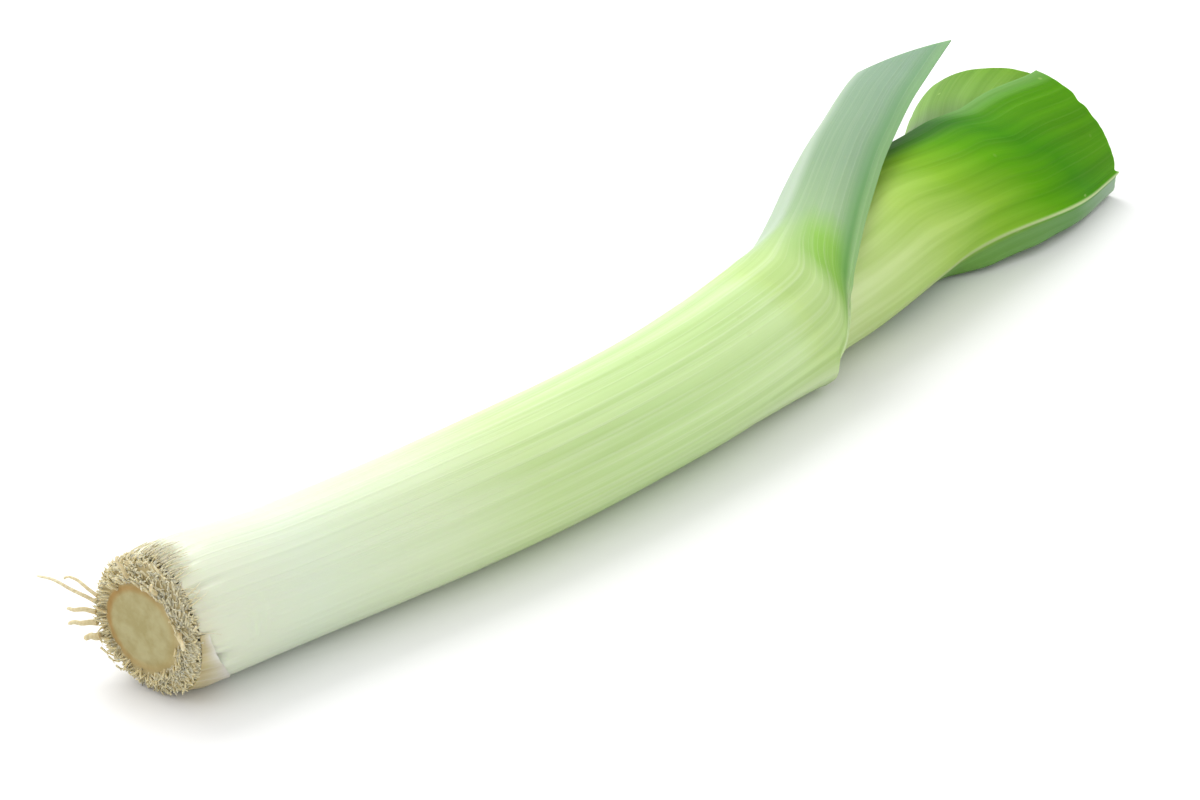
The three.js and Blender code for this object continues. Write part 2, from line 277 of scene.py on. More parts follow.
leafSkin = {"glow": 0.25, "glowReach": (0.6, 1.0, 0.35), "glowScale": 0.003, "ior": 1.42,
            "bumpDepth": 0.0002, "leadReach": 0.2}


# One leaf finish. look["along"] is the colour from the root to the cut, and each patch is a further
# colour where its two masks, across and along the leaf, meet.
def leafFinish(name, look):
    material, tree, shader = newMaterial(name)
    across, along = leafUV(tree)
    wave = maths(tree, "SUBTRACT", streaks(tree, 9, 3, 3, 4.0), 0.5)
    drift = maths(tree, "MULTIPLY", wave, look["wander"])
    along = maths(tree, "ADD", along, drift)
    if "lead" in look:  # how far ahead of the rest each part of the width turns green
        lead = maths(tree, "MULTIPLY", ramp(tree, across, look["lead"]), leafSkin["leadReach"])
        along = maths(tree, "ADD", along, lead)
    colour = ramp(tree, along, look["along"])
    for patch in look.get("patches", []):
        reach = ramp(tree, along, patch["along"])
        share = maths(tree, "MULTIPLY", ramp(tree, across, patch["across"]), reach)
        fill = patch["colour"]
        if isinstance(fill, list):
            fill = ramp(tree, along, fill)
        colour = mixColour(tree, share, colour, fill)
    broad = ramp(tree, streaks(tree, look["broad"], 2.5, 3), [(0.38, 0.0), (0.64, 1.0)])
    fine = ramp(tree, streaks(tree, look["fine"], 2.2, 2, 7.0), [(0.5, 0.0), (0.66, 1.0)])
    strength = ramp(tree, along, look["veinAlong"])
    deep = maths(tree, "MULTIPLY", maths(tree, "MULTIPLY", broad, look["broadShare"]), strength)
    colour = mixColour(tree, deep, colour, look["deep"], "MULTIPLY")
    pale = maths(tree, "MULTIPLY", maths(tree, "MULTIPLY", fine, look["fineShare"]), strength)
    colour = mixColour(tree, pale, colour, look["pale"])
    colour = addFlecks(tree, colour, look)
    tree.links.new(colour, shader.inputs["Base Color"])
    tree.links.new(ramp(tree, along, look["rough"]), shader.inputs["Roughness"])
    bump = addNode(tree, "ShaderNodeBump")
    bump.inputs["Strength"].default_value = look["bump"]
    bump.inputs["Distance"].default_value = leafSkin["bumpDepth"]
    tree.links.new(fine, bump.inputs["Height"])
    tree.links.new(bump.outputs["Normal"], shader.inputs["Normal"])
    shader.inputs["Subsurface Weight"].default_value = leafSkin["glow"]
    shader.inputs["Subsurface Radius"].default_value = leafSkin["glowReach"]
    shader.inputs["Subsurface Scale"].default_value = leafSkin["glowScale"]
    shader.inputs["IOR"].default_value = leafSkin["ior"]
    shader.inputs["Specular IOR Level"].default_value = look.get("shine", 0.5)
    if "shineAlong" in look:
        tree.links.new(ramp(tree, along, look["shineAlong"]), shader.inputs["Specular IOR Level"])
    return material


# A few small blemishes, each a dot where the cells of a coarse pattern have their centres.
def addFlecks(tree, colour, look):
    uv = addNode(tree, "ShaderNodeUVMap")
    mapping = addNode(tree, "ShaderNodeMapping")
    mapping.inputs["Scale"].default_value = (7, 22, 1)
    cells = addNode(tree, "ShaderNodeTexVoronoi", voronoi_dimensions="2D")
    cells.inputs["Scale"].default_value = 1
    tree.links.new(uv.outputs["UV"], mapping.inputs["Vector"])
    tree.links.new(mapping.outputs["Vector"], cells.inputs["Vector"])
    dot = ramp(tree, cells.outputs["Distance"], [(0.025, 1.0), (0.055, 0.0)])
    picked = ramp(tree, cells.outputs["Color"], [(0.62, 0.0), (0.66, 1.0)])
    grown = ramp(tree, leafUV(tree)[1], [(0.2, 0.0), (0.3, 1.0)])  # none on the white part
    share = maths(tree, "MULTIPLY", maths(tree, "MULTIPLY", dot, picked), maths(
        tree, "MULTIPLY", grown, look.get("flecks", 0.45)))
    return mixColour(tree, share, colour, look.get("fleck", srgb(176, 186, 120)))


outerLook = {
    "along": [(0.0, srgb(236, 230, 200)), (0.03, srgb(235, 242, 216)), (0.1, srgb(232, 245, 217)),
              (0.2, srgb(230, 246, 202)), (0.28, srgb(218, 242, 174)), (0.4, srgb(214, 243, 170)),
              (0.52, srgb(217, 245, 174)), (0.565, srgb(210, 239, 154)), (0.6, srgb(192, 222, 148)),
              (0.65, srgb(160, 190, 144)), (0.72, srgb(142, 172, 138)), (0.86, srgb(138, 168, 142))],
    "patches": [
        # painted glow: the blade is paler and greyer along its keel, where light shows round and through
        # its edge
        {"across": [(0.42, 0.0), (0.5, 1.0), (0.58, 1.0), (0.72, 0.0)],
         "along": [(0.56, 0.0), (0.62, 0.75), (0.86, 0.6)], "colour": srgb(200, 216, 196)},
        {"across": [(0.04, 0.0), (0.12, 1.0), (0.24, 1.0), (0.36, 0.0)],
         "along": [(0.585, 0.0), (0.605, 0.8), (0.63, 0.8), (0.66, 0.0)], "colour": srgb(140, 196, 62)},
        {"across": [(0.0, 1.0), (0.07, 0.8), (0.16, 0.0), (0.84, 0.0), (0.93, 0.8), (1.0, 1.0)],
         "along": [(0.595, 0.0), (0.625, 0.9), (0.69, 0.7), (0.86, 0.35)], "colour": srgb(84, 158, 62)},
        {"across": [(0.0, 1.0), (0.04, 0.9), (0.07, 0.0), (0.93, 0.0), (0.96, 0.9), (1.0, 1.0)],
         "along": [(0.46, 0.0), (0.52, 1.0), (0.6, 0.9), (0.63, 0.3), (0.8, 0.1)],
         "colour": srgb(222, 244, 186)},
    ],
    "veinAlong": [(0.1, 0.0), (0.22, 0.5), (0.34, 1.0), (0.57, 1.0), (0.63, 0.3), (1.0, 0.2)],
    "shineAlong": [(0.0, 0.5), (0.56, 0.5), (0.62, 0.15), (1.0, 0.2)],
    "rough": [(0.0, 0.4), (0.5, 0.36), (0.64, 0.6), (1.0, 0.65)],
    "broad": 30, "fine": 95, "broadShare": 0.5, "fineShare": 0.26, "wander": 0.02,
    "deep": srgb(234, 250, 200), "pale": srgb(238, 250, 212), "bump": 0.3, "flecks": 0.12,
}
innerLook = {
    "along": [(0.0, srgb(238, 236, 214)), (0.35, srgb(222, 236, 180)), (0.6, srgb(180, 210, 112)),
              (0.75, srgb(112, 148, 66)), (0.85, srgb(80, 116, 46)), (0.91, srgb(86, 130, 36)),
              (0.97, srgb(118, 170, 44)), (1.0, srgb(100, 154, 30))],
    "veinAlong": [(0.3, 0.2), (0.7, 1.0), (1.0, 1.0)],
    "rough": [(0.0, 0.45), (1.0, 0.5)], "shine": 0.05,
    "broad": 34, "fine": 100, "broadShare": 0.5, "fineShare": 0.25, "wander": 0.04,
    "deep": srgb(206, 228, 166), "pale": srgb(196, 220, 140), "bump": 0.4,
}
secondLook = {
    "along": [(0.0, srgb(240, 242, 220)), (0.45, srgb(222, 236, 176)), (0.62, srgb(222, 240, 178)),
              (0.71, srgb(214, 239, 156)), (0.77, srgb(194, 228, 116)), (0.84, srgb(152, 204, 58)),
              (0.9, srgb(104, 178, 10)), (0.95, srgb(74, 154, 0)), (1.0, srgb(90, 160, 12))],
    "lead": [(0.5, 0.0), (0.62, 0.08), (0.8, 0.28), (0.95, 0.5)],
    "patches": [
        # painted shade and sheen: the flank below the keel is greyer, as if turned from the light and
        # catching a grazing waxy sheen
        {"across": [(0.46, 1.0), (0.492, 0.0)], "along": [(0.66, 0.0), (0.72, 1.0)],
         "colour": [(0.7, srgb(150, 188, 112)), (0.8, srgb(128, 176, 92)), (0.92, srgb(120, 164, 104)),
                    (0.99, srgb(164, 190, 162))]},
        {"across": [(0.0, 1.0), (0.06, 0.8), (0.12, 0.0), (0.88, 0.0), (0.94, 0.8), (1.0, 1.0)],
         "along": [(0.78, 0.0), (0.84, 0.8), (0.93, 0.7), (1.0, 0.0)], "colour": srgb(64, 142, 46)},
        {"across": [(0.0, 1.0), (0.03, 0.6), (0.07, 0.0), (0.93, 0.0), (0.97, 0.6), (1.0, 1.0)],
         "along": [(0.94, 0.0), (0.98, 0.7), (1.0, 0.7)], "colour": srgb(136, 178, 112)},
        # the pale keel line: partly a lighter midrib, partly a painted highlight along the ridge
        {"across": [(0.478, 0.0), (0.487, 1.0), (0.5, 1.0), (0.51, 0.0)],
         "along": [(0.66, 0.0), (0.74, 0.9), (1.0, 0.9)], "colour": srgb(216, 232, 172)},
    ],
    "veinAlong": [(0.3, 0.2), (0.62, 0.7), (0.8, 0.9), (1.0, 0.9)],
    "rough": [(0.0, 0.42), (0.7, 0.42), (1.0, 0.42)],
    "broad": 24, "fine": 80, "broadShare": 0.5, "fineShare": 0.04, "wander": 0.06, "shine": 0.03,
    "deep": srgb(206, 232, 120), "pale": srgb(196, 222, 130), "bump": 0.2, "fleck": srgb(176, 204, 120),
}
thirdLook = {
    **secondLook,
    "along": [(0.0, srgb(240, 242, 220)), (0.6, srgb(200, 218, 150)), (0.78, srgb(92, 122, 60)),
              (0.86, srgb(96, 138, 52)), (0.94, srgb(126, 174, 62)), (1.0, srgb(112, 162, 40))],
    "lead": [(0.0, 0.0), (1.0, 0.0)],
    "patches": [
        # painted shade: the half towards the keel is darker and greyer, as if turned away from the light
        {"across": [(0.3, 1.0), (0.5, 0.6), (0.6, 0.0)], "along": [(0.74, 0.6), (0.9, 0.35), (1.0, 0.0)],
         "colour": srgb(120, 146, 106)},
    ],
}
oldLook = {
    "along": [(0.0, srgb(206, 190, 136)), (0.016, srgb(214, 204, 160)), (0.03, srgb(226, 222, 190)),
              (0.042, srgb(238, 238, 216)), (0.05, srgb(248, 248, 236))],
    "veinAlong": [(0.0, 1.0), (1.0, 1.0)],
    "rough": [(0.0, 0.5), (1.0, 0.45)],
    "broad": 8, "fine": 30, "broadShare": 0.5, "fineShare": 0.2, "wander": 0.012,
    "deep": srgb(232, 220, 184), "pale": srgb(246, 244, 228), "bump": 0.3, "flecks": 0,
}
heartLook = {
    **secondLook,
    "along": [(0.0, srgb(240, 242, 220)), (0.6, srgb(222, 238, 170)), (0.85, srgb(176, 214, 86)),
              (1.0, srgb(140, 190, 52))],
    "lead": [(0.0, 0.0), (1.0, 0.0)],
    "patches": [],
}
cutLook = {
    "along": [(0.0, srgb(240, 236, 212)), (0.6, srgb(218, 232, 178)), (0.8, srgb(196, 218, 150)),
              (1.0, srgb(182, 208, 132))],
    "veinAlong": [(0.0, 1.0), (1.0, 1.0)],
    "rough": [(0.0, 0.5), (1.0, 0.5)],
    "broad": 60, "fine": 240, "broadShare": 0.4, "fineShare": 0.5, "wander": 0.02,
    "deep": srgb(218, 232, 180), "pale": srgb(226, 236, 196), "bump": 0.2, "flecks": 0,
}

outsideA = leafFinish("outerLeafSkin", outerLook)
outsideB = leafFinish("secondLeafSkin", secondLook)
outsideC = leafFinish("thirdLeafSkin", thirdLook)
insideLeaf = leafFinish("leafInside", innerLook)
outsideHeart = leafFinish("heartSkin", heartLook)
outsideOld = leafFinish("oldSheathSkin", oldLook)
cutEdge = leafFinish("leafCutEdge", cutLook)
print("leaf finishes are made")


# A flat blank, one column for each step round the leaf and one row for each step along it.
def leafBlank(name, columns, rows):
    deselect()
    bpy.ops.mesh.primitive_grid_add(
        x_subdivisions=columns, y_subdivisions=rows, size=1, location=(0.5, 0.5, 0))
    blank = bpy.context.object
    blank.name = name
    blank.data.name = name
    bpy.ops.object.transform_apply(location=True)
    bpy.ops.object.mode_set(mode="EDIT")
    bpy.ops.mesh.select_all(action="SELECT")
    bpy.ops.mesh.flip_normals()  # a leaf curls round with this side outwards
    bpy.ops.object.mode_set(mode="OBJECT")
    return blank


# shape(u, row) gives the place of a point and how far along the leaf its colour is, swell(u, row) how
# proud the skin stands there, share(u, row) the share of the full wall, and soften(u, row) whether
# the point is eased in with its neighbours.
def shapeLeaf(blank, rows, shape, swell, share, soften=None, rounds=0):
    mesh = blank.data
    flat = []
    for vertex in mesh.vertices:
        step = vertex.co.y * (len(rows) - 1)
        first = min(int(step + 1e-6), len(rows) - 2)
        flat.append((vertex.co.x, lerp(rows[first], rows[first + 1], step - first)))
    alongs = []
    for vertex, (u, row) in zip(mesh.vertices, flat):
        vertex.co, along = shape(u, row)
        alongs.append(along / shaft["cut"])
    for loop in mesh.loops:
        i = loop.vertex_index
        mesh.uv_layers.active.data[loop.index].uv = (flat[i][0], alongs[i])
    if soften:
        selectVertices(blank, [soften(u, row) for u, row in flat])
        bpy.ops.object.mode_set(mode="EDIT")
        bpy.ops.mesh.vertices_smooth(factor=0.5, repeat=rounds)
        bpy.ops.object.mode_set(mode="OBJECT")
    mesh.update()
    normals = [v.normal.copy() for v in mesh.vertices]
    thickness = blank.vertex_groups.new(name="thickness")
    for vertex, normal, (u, row) in zip(mesh.vertices, normals, flat):
        vertex.co += normal * mm * swell(u, row)
        vertex.co.z = max(vertex.co.z, 0)
        thickness.add([vertex.index], share(u, row), "REPLACE")
    bpy.ops.object.mode_set(mode="EDIT")
    bpy.ops.mesh.select_all(action="SELECT")
    bpy.ops.mesh.remove_doubles(threshold=0.00004)
    bpy.ops.object.mode_set(mode="OBJECT")


def selectVertices(piece, wanted):
    bpy.ops.object.mode_set(mode="EDIT")
    bpy.ops.mesh.select_mode(type="VERT")
    bpy.ops.mesh.select_all(action="DESELECT")
    bpy.ops.object.mode_set(mode="OBJECT")
    for vertex, chosen in zip(piece.data.vertices, wanted):
        vertex.select = chosen


def thicken(leaf, thickest):
    solid = leaf.modifiers.new("wall", "SOLIDIFY")
    solid.thickness = thickest * mm
    solid.offset = -1
    solid.vertex_group = "thickness"
    solid.thickness_vertex_group = 0.05
    solid.material_offset = 1
    solid.material_offset_rim = 2
    bpy.ops.object.modifier_apply(modifier="wall")
    for vertex in leaf.data.vertices:
        vertex.co.z = max(vertex.co.z, 0)  # nothing reaches below the table
    leaf.vertex_groups.clear()
    bpy.ops.object.shade_smooth_by_angle(angle=math.radians(45))


def finishLeaf(leaf, outside, slotName, *nodes):
    for material in (outside, insideLeaf, cutEdge):
        leaf.data.materials.append(material)
    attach(leaf, "root")
    if nodes:
        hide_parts(*nodes)


# The direction round the leaf at u, as a point on a circle: a pattern meets itself at the seam.
def around(u, radius):
    return Vector((math.cos(2 * math.pi * u), math.sin(2 * math.pi * u), 0)) * radius


# The outer leaf: rows up to sheathEnd are stations of the closed sheath, and past it each whole
# number is the next row of the blade.
outer = {
    "columns": 240,
    "keel": 135,  # degrees up from the front side
    "start": 5.4,
    "sheathEnd": 205,
    "wall": 1.45,
    "lip": 3.2, "lipRow": 206.1, "lipWidth": 0.6,  # how far the mouth's lower corner flares, and where
    "kneeRows": (190, 214), "kneeSides": (0.15, 0.955), "corner": (208, 0.8), "kneeRounds": 70,
    "blade": [  # keelAt, marginAt, keelLift, marginLift, spread, curl
        (205, 205, 19.6, -19.6, 0, 180),
        (229, 241, 20.1, -20.1, 0, 180), (234, 241.2, 20.2, -20.1, 4.3, 168),
        (239, 241.4, 20.4, -18.9, 8.9, 155), (244, 241.8, 20.4, -16.4, 13, 142),
        (249, 242.4, 20.6, -12.9, 16.8, 129), (254, 243.6, 20.9, -8.7, 19.5, 116),
        (261, 248, 21.6, -4.2, 22.2, 105), (269, 258, 23.2, 1.2, 22.1, 98),
        (281, 271, 27, 7, 21.3, 91), (295, 286, 31.8, 12.9, 20.8, 83),
        (310, 301, 36.4, 18.2, 20.1, 72), (323, 315, 39.4, 22.3, 20, 60),
        (333, 331, 41.8, 26.9, 20.5, 46), (341, 346, 43.2, 30.3, 21.8, 31),
        (347, 360, 43.8, 34, 25.7, 16),
    ],
    "creases": 48,
}
bladeColumns = [[(i, row[k]) for i, row in enumerate(outer["blade"])] for k in range(6)]


def curledHalf(keelLift, marginLift, spread, curl, share):
    half = math.radians(curl) / 2
    chordX, chordY = marginLift - keelLift, spread
    length = math.hypot(chordX, chordY)
    radius = length / 2 / math.sin(half)
    inX, inY = -chordY / length, chordX / length
    centreX = (keelLift + marginLift) / 2 + inX * radius * math.cos(half)
    centreY = spread / 2 + inY * radius * math.cos(half)
    turn = half * (2 * share - 1)
    return (centreX - inX * radius * math.cos(turn) + chordX / length * radius * math.sin(turn),
            centreY - inY * radius * math.cos(turn) + chordY / length * radius * math.sin(turn))


def outerShape(u, row):
    side = 2 * u - 1
    keel = math.radians(outer["keel"])
    if row <= outer["sheathEnd"]:
        radius = between(shaft["radius"], row)
        angle = keel + math.pi * side
        return place(row, radius * math.cos(angle), axisHeight(row) + radius * math.sin(angle)), row
    step = row - outer["sheathEnd"]
    keelAt, marginAt, keelLift, marginLift, spread, curl = (between(c, step) for c in bladeColumns)
    share = abs(side)
    lift, out = curledHalf(keelLift, marginLift, spread, curl, share)
    flare = math.exp(-((row - outer["lipRow"]) / outer["lipWidth"]) ** 2)
    lift -= outer["lip"] * flare * smoothstep(share, 0.82, 0.97)
    out = math.copysign(out, side)
    station = lerp(keelAt, marginAt, share)
    spot = place(station, lift * math.cos(keel) - out * math.sin(keel),
                 axisHeight(station) + lift * math.sin(keel) + out * math.cos(keel))
    return spot, lerp(keelAt, marginAt, 0.3)


random.seed(11)
creases = [  # u, reach, depth, width
    (random.random(), random.uniform(3, 12), random.uniform(0.25, 0.75), random.uniform(0.6, 1.3))
    for i in range(outer["creases"])
]
wrinkles = [(0.14, 21.0, 0.5), (0.15, 24.5, 0.4)]  # u, station, height: two short folds


def outerSwell(u, row):
    ribs = noise.noise(around(u, 9) + Vector((0, 0, row * 0.004))) * 0.13
    lumps = noise.noise(around(u, 1.6) + Vector((0, 0, row * 0.02))) * 0.3
    depth = 0
    for at, reach, deep, width in creases:
        away = abs((u - at + 0.5) % 1 - 0.5) * 120
        if away < 3 * width:
            fading = 1 - smoothstep(row, 6 + reach * 0.3, 10 + reach)
            depth += deep * math.exp(-(away / width) ** 2) * fading
    for at, station, high in wrinkles:
        bend = station - ((u - at) * 45) ** 2 * 0.25
        depth -= high * math.exp(-((row - bend) / 0.8) ** 2 - ((u - at) / 0.035) ** 2)
    steady = smoothstep(row, 8, 40) * (1 - smoothstep(row, 204, 210))
    return (ribs + lumps) * steady - depth


def outerWall(u, row):
    edge = 1 - smoothstep(1 - abs(2 * u - 1), 0, 0.16)
    loose = smoothstep(row, 204, 211)
    return 1 - 0.2 * loose - 0.5 * edge * loose


# Where the sheath turns into the blade is eased, but not the corner of the mouth.
def outerKnee(u, row):
    side = abs(2 * u - 1)
    cornerRow, cornerSide = outer["corner"]
    low, high = outer["kneeRows"]
    near, far = outer["kneeSides"]
    return low < row < high and near < side < far and not (row < cornerRow and side > cornerSide)


def makeOuterLeaf():
    bladeEnd = outer["sheathEnd"] + len(outer["blade"]) - 1
    rows = spaced(outer["start"], 40, 50) + spaced(40, 180, 34)
    rows += spaced(180, outer["sheathEnd"], 18) + spaced(outer["sheathEnd"], bladeEnd, 84) + [bladeEnd]
    leaf = leafBlank("outerLeaf", outer["columns"], len(rows) - 1)
    shapeLeaf(leaf, rows, outerShape, outerSwell, outerWall, outerKnee, outer["kneeRounds"])
    thicken(leaf, outer["wall"])
    finishLeaf(leaf, outsideA, "outer_leaf", "outer_leaf")


makeOuterLeaf()
print("outer leaf is shaped")


# What is left of an older sheath, clinging to the base on its lower front side.
remnant = {
    "first": 12, "last": -100,  # degrees up from the front side
    "start": 5.2, "short": 7.5, "long": 19, "slant": 9, "fray": 0.4,
    "proud": 0.28, "wall": 0.4, "columns": 60, "rows": 24,
}


def makeRemnant():
    rows = [i / remnant["rows"] for i in range(remnant["rows"] + 1)]
    leaf = leafBlank("oldSheath", remnant["columns"], len(rows) - 1)

    def shape(u, row):
        angle = math.radians(lerp(remnant["last"], remnant["first"], u))
        edge = lerp(remnant["long"], remnant["short"], smoothstep(u, 0.25, 1))
        edge -= remnant["slant"] * (1 - smoothstep(u, 0, 0.3))
        edge += remnant["fray"] * noise.noise(Vector((u * 14, 3, 0)))
        station = lerp(remnant["start"], edge, row)
        radius = between(shaft["radius"], station) + remnant["proud"]
        height = axisHeight(station) + radius * math.sin(angle)
        return place(station, radius * math.cos(angle), height), row * 20

    def swell(u, row):
        return 0.25 * noise.noise(Vector((u * 5, row * 2, 7)))

    def share(u, row):
        return 1 - 0.6 * row

    shapeLeaf(leaf, rows, shape, swell, share)
    thicken(leaf, remnant["wall"])
    finishLeaf(leaf, outsideOld, "outer_leaf")


makeRemnant()


# The leaves of the fan, from the second one inwards.
fan = {
    "keel": -30, "pitch": 2.0, "axisHeight": 19.2, "axisBack": 2,
    "frontDrop": 11, "backDrop": 4, "frontOpening": (318, 382), "backOpening": (350, 412),
    "wall": [(240, 1.68), (290, 1.2), (325, 0.95), (406, 0.9)], "sheathWall": 1.68,
    "thickest": 1.6, "thinning": 0.06,
    "leaving": (240, 290),  # where the leaves stop following the height of the shaft
    "frontSinking": (322, 392), "flankSpan": 78,
    "flank": [(306, 0), (320, 2.5), (338, 10), (352, 10), (366, 7), (380, 5), (406, 4)],
    "notches": [(0.5, -1.2, 0.012), (0.53, 1.0, 0.02), (0.83, 1.3, 0.02)],  # u, depth, width
}
fanLeaves = [
    {"piece": "secondLeaf", "node": "leaf_2", "slot": "leaf_2", "skin": outsideB,
     "front": 34, "back": 40, "half": 19.0, "columns": 176,
     "margin": [(290, 180), (318, 150), (330, 137), (345, 124), (363, 99), (386, 88), (406, 81)]},
    {"piece": "thirdLeaf", "node": "leaf_3", "slot": "leaf_3", "skin": outsideC,
     "front": 30.5, "back": 35, "half": 16.9, "columns": 160,
     "margin": [(312, 180), (335, 150), (360, 120), (406, 104)]},
    {"piece": "fourthLeaf", "node": "leaf_4", "slot": "inner_leaves", "skin": outsideC,
     "front": 26, "back": 32, "half": 14.6, "columns": 112,
     "margin": [(325, 180), (350, 150), (375, 124), (406, 108)]},
    {"piece": "fifthLeaf", "node": "leaf_5", "slot": "inner_leaves", "skin": outsideC,
     "front": 20.5, "back": 26.5, "half": 12, "columns": 96,
     "margin": [(338, 180), (360, 150), (384, 126), (406, 112)]},
    {"piece": "sixthLeaf", "node": "leaf_6", "slot": "inner_leaves", "skin": outsideHeart,
     "front": 16.5, "back": 20, "half": 9.8, "columns": 80,
     "margin": [(350, 180), (372, 150), (406, 122)]},
    {"piece": "seventhLeaf", "node": "leaf_7", "slot": "inner_leaves", "skin": outsideHeart,
     "front": 12, "back": 14.5, "half": 7.4, "columns": 64,
     "margin": [(362, 180), (390, 150), (406, 135)]},
    {"piece": "heartLeaf", "node": "heart_leaf", "slot": "heart_leaf", "skin": outsideHeart,
     "front": 7.5, "back": 9, "half": 5, "columns": 48, "margin": []},
]
plateDome = [(0, 10.6), (6, 10.2), (10, 9.2), (13.5, 7.4), (17, 4.6)]
cosRest = math.cos(math.radians(shaft["restAngle"]))


def fanShape(leaf, depth, u, station):
    radius = between(shaft["core"], station) - depth * fan["pitch"]
    height = axisHeight(station)
    if station >= fan["leaving"][0]:
        lying = between(shaft["core"], station) * cosRest
        height = lerp(axisHeight(fan["leaving"][0]), lying, smoothstep(station, *fan["leaving"]))
    frontShare = smoothstep(station, *fan["frontOpening"])
    backShare = smoothstep(station, *fan["backOpening"])
    sunk = smoothstep(station, *fan["frontSinking"])
    opening = between(leaf["margin"], station) if leaf["margin"] else 180
    turn = opening * (2 * u - 1)
    angle = math.radians((0 if depth % 2 == 0 else 180) + turn + fan["keel"] * (1 - frontShare))
    cos = math.cos(angle)
    front = cos > 0
    share = frontShare if front else backShare
    reach = lerp(radius, leaf["front"] if front else leaf["back"], share)
    widest = fanLeaves[0]
    drop = backShare * fan["backDrop"] * leaf["back"] / widest["back"]
    if front:
        drop = sunk * fan["frontDrop"] * leaf["front"] / widest["front"]
    bulge = 0  # the second leaf's flank stands out below its keel
    if depth == 0 and -fan["flankSpan"] < turn < 0:
        bulge = between(fan["flank"], station) * math.sin(math.pi * turn / fan["flankSpan"]) ** 2
    half = lerp(radius, leaf["half"], frontShare)
    height = lerp(height, fan["axisHeight"], frontShare) + half * math.sin(angle) - drop * cos * cos
    return place(station, reach * cos - fan["axisBack"] * frontShare + bulge, height)


def makeFanLeaf(leaf, depth):
    startRadius = max(between(shaft["core"], 6) - depth * fan["pitch"] - fan["sheathWall"], 0)
    start = between(plateDome, startRadius) + 0.4
    rows = spaced(start, 230, 14) + spaced(230, 300, 20) + spaced(300, shaft["cut"], 60)
    rows.append(shaft["cut"])
    blank = leafBlank(leaf["piece"], leaf["columns"], len(rows) - 1)
    keelStart = leaf["margin"][0][0] if leaf["margin"] else 400

    def ragged(u):  # the cut across the blades is not quite straight
        uneven = noise.noise(around(u, 1.5) + Vector((0, 0, depth * 3.1))) * 1.1
        uneven += noise.noise(around(u, 6) + Vector((0, 0, depth + 5))) * 0.35
        for at, deep, width in fan["notches"]:
            uneven -= deep * math.exp(-((u - at) / width) ** 2) * (depth == 0)
        return uneven

    def shape(u, row):
        station = row + ragged(u) * smoothstep(row, shaft["cut"] - 10, shaft["cut"])
        station = min(station, shaft["cut"] + 2)
        return fanShape(leaf, depth, u, station), station

    def swell(u, station):
        opened = smoothstep(station, keelStart, keelStart + 60)
        ridge = 0.7 * math.exp(-((2 * u - 1) / 0.035) ** 2) * opened if depth < 2 else 0
        ribs = noise.noise(around(u, 4) + Vector((0, 0, station * 0.006 + depth))) * 0.14
        return ridge + ribs * smoothstep(station, 240, 300) * (1 if depth == 0 else 0.5)

    def share(u, station):
        edge = 1 - smoothstep(1 - abs(2 * u - 1), 0, 0.14)
        loose = smoothstep(station, keelStart - 10, keelStart + 20)
        return (between(fan["wall"], station) / fan["sheathWall"]) * (1 - 0.45 * edge * loose)

    shapeLeaf(blank, rows, shape, swell, share)
    if leaf["margin"]:
        thicken(blank, fan["thickest"] * (1 - fan["thinning"] * depth))
    else:
        closeRod(blank)
    finishLeaf(blank, leaf["skin"], leaf["slot"], leaf["node"])


# Caps both ends of the rolled heart leaf, then sinks two rings into each cap.
def closeRod(rod):
    bpy.ops.object.mode_set(mode="EDIT")
    bpy.ops.mesh.select_mode(type="EDGE")
    bpy.ops.mesh.select_all(action="DESELECT")
    bpy.ops.mesh.select_non_manifold(extend=False)
    bpy.ops.mesh.edge_face_add()
    bpy.ops.mesh.select_mode(type="FACE")
    for depth in (0.0004, -0.0003, 0.0003):
        bpy.ops.mesh.inset(thickness=0.0011, depth=-depth, use_individual=True)
    bpy.ops.object.mode_set(mode="OBJECT")
    bpy.ops.object.shade_smooth_by_angle(angle=math.radians(45))


for depth, leaf in enumerate(fanLeaves):
    makeFanLeaf(leaf, depth)
print("the leaves of the fan are shaped")


# The root end: points of it by station, radius and degrees up from the front side. Its face is
# turned a little to the front, less and less towards the foot of the sheaths.
rootEnd = {"faceTurn": 0.2, "sheathFoot": 4.6, "rootStation": -0.9, "rootRadius": 14.2}


def atRoot(station, radius, angle):
    turn = math.radians(angle)
    across = radius * math.cos(turn)
    turned = rootEnd["faceTurn"] * (1 - min(max(station / rootEnd["sheathFoot"], 0), 1))
    return place(station + turned * across, across, axisHeight(0) + radius * math.sin(turn))


def rootFinish(name, look):
    material, tree, shader = newMaterial(name)
    tip = addNode(tree, "ShaderNodeAttribute", attribute_name="tip").outputs["Fac"]
    pale = addNode(tree, "ShaderNodeAttribute", attribute_name="pale").outputs["Fac"]
    colour = mixColour(tree, pale, ramp(tree, tip, look["tan"]), ramp(tree, tip, look["white"]))
    coordinates = addNode(tree, "ShaderNodeTexCoord")
    grain = addNode(tree, "ShaderNodeTexNoise")
    grain.inputs["Scale"].default_value = 900
    grain.inputs["Detail"].default_value = 3
    tree.links.new(coordinates.outputs["Object"], grain.inputs["Vector"])
    worn = ramp(tree, grain.outputs["Fac"], [(0.35, look["dark"]), (0.6, (1, 1, 1, 1))])
    colour = mixColour(tree, 0.6, colour, worn, "MULTIPLY")
    tree.links.new(colour, shader.inputs["Base Color"])
    shader.inputs["Roughness"].default_value = 0.75
    bump = addNode(tree, "ShaderNodeBump")
    bump.inputs["Strength"].default_value = 0.4
    bump.inputs["Distance"].default_value = 0.0002
    tree.links.new(grain.outputs["Fac"], bump.inputs["Height"])
    tree.links.new(bump.outputs["Normal"], shader.inputs["Normal"])
    shader.inputs["Subsurface Weight"].default_value = 0.5
    shader.inputs["Subsurface Radius"].default_value = (1.0, 0.8, 0.5)
    shader.inputs["Subsurface Scale"].default_value = 0.0015
    return material


